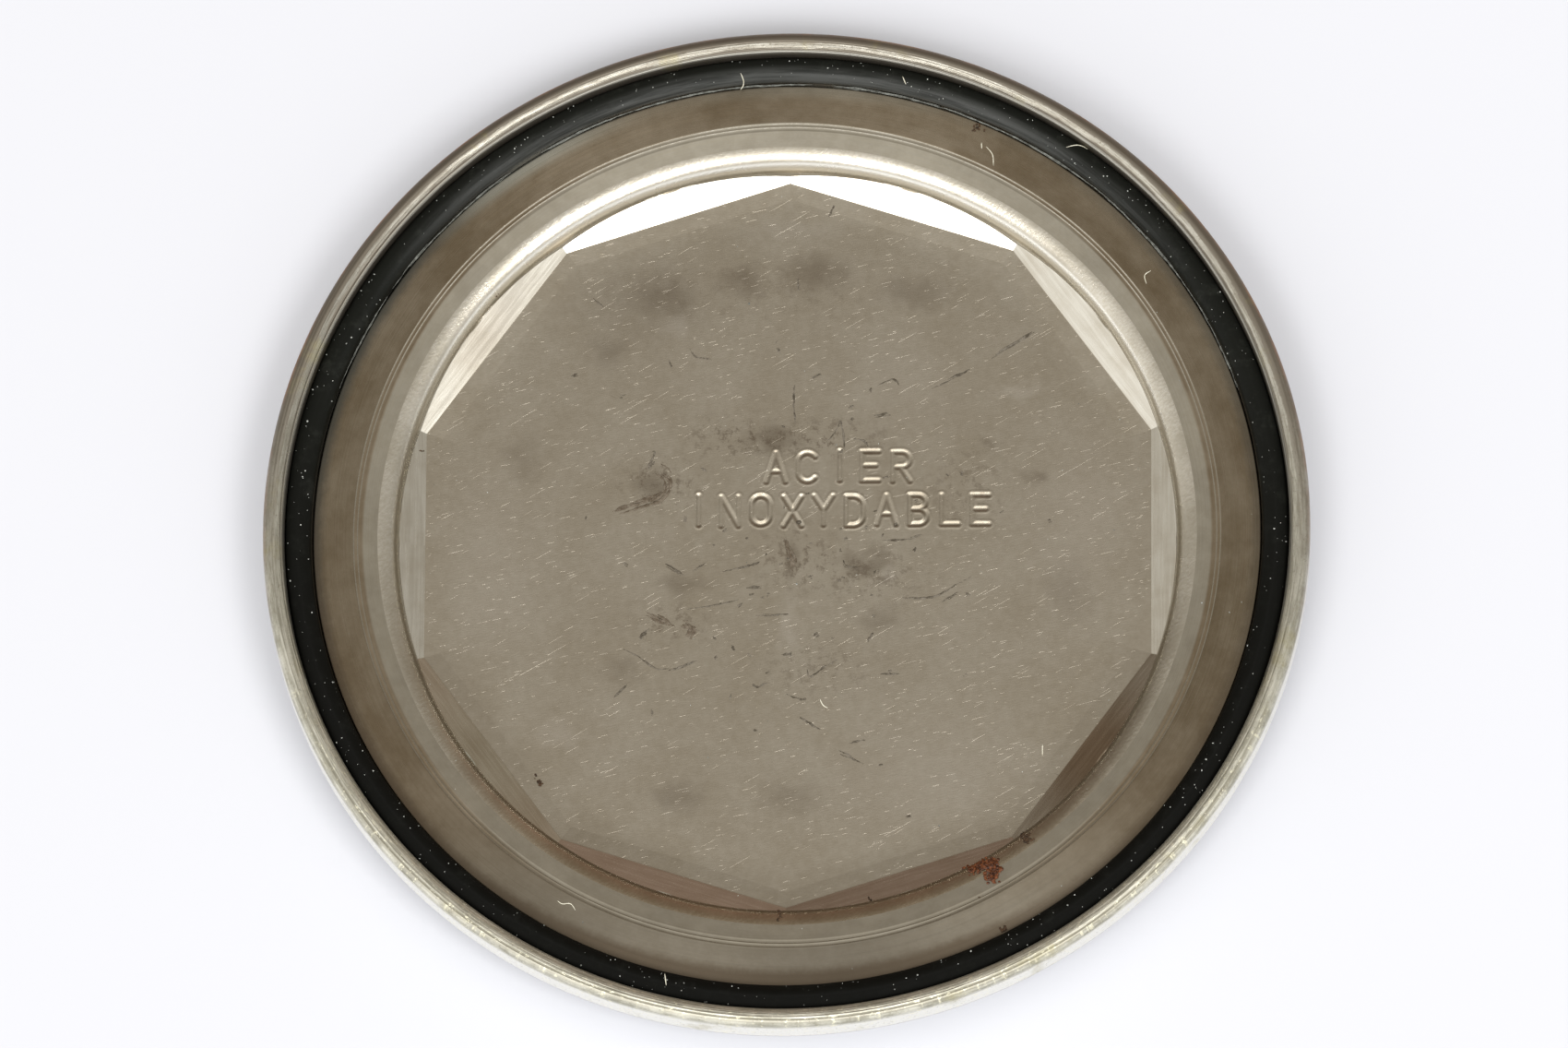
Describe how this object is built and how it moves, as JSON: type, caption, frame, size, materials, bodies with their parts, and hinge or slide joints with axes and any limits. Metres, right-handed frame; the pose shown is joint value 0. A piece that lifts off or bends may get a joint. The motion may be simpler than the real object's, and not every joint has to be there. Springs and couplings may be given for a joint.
{
  "type": "watch case back",
  "caption": "Round steel back of a watch case, seen from inside, with a ten-sided pressed recess and a rubber gasket that lifts out of its lip.",
  "frame": {"origin": "centre of the boss's flat outer face, on the axis of the round back, with the inside of the back up", "axes": "+Z along the axis from the outer face to the inside; +Y through one corner of the ten-sided recess"},
  "size_m": [0.032, 0.032, 0.0025],
  "materials": {
    "steel": "turned and pressed stainless steel, dull and tarnished brown on the land, worn bright on the lip",
    "gasket_rubber": "dull black rubber with white dust"
  },
  "bodies": {
    "case_back": {"case_back": "steel"},
    "gasket": {"gasket": "gasket_rubber"}
  },
  "joints": [
    {"name": "gasket_lift", "type": "slide", "parent": "case_back", "child": "gasket", "axis": [0, 0, 1], "range_m": [0, 0.005]}
  ]
}
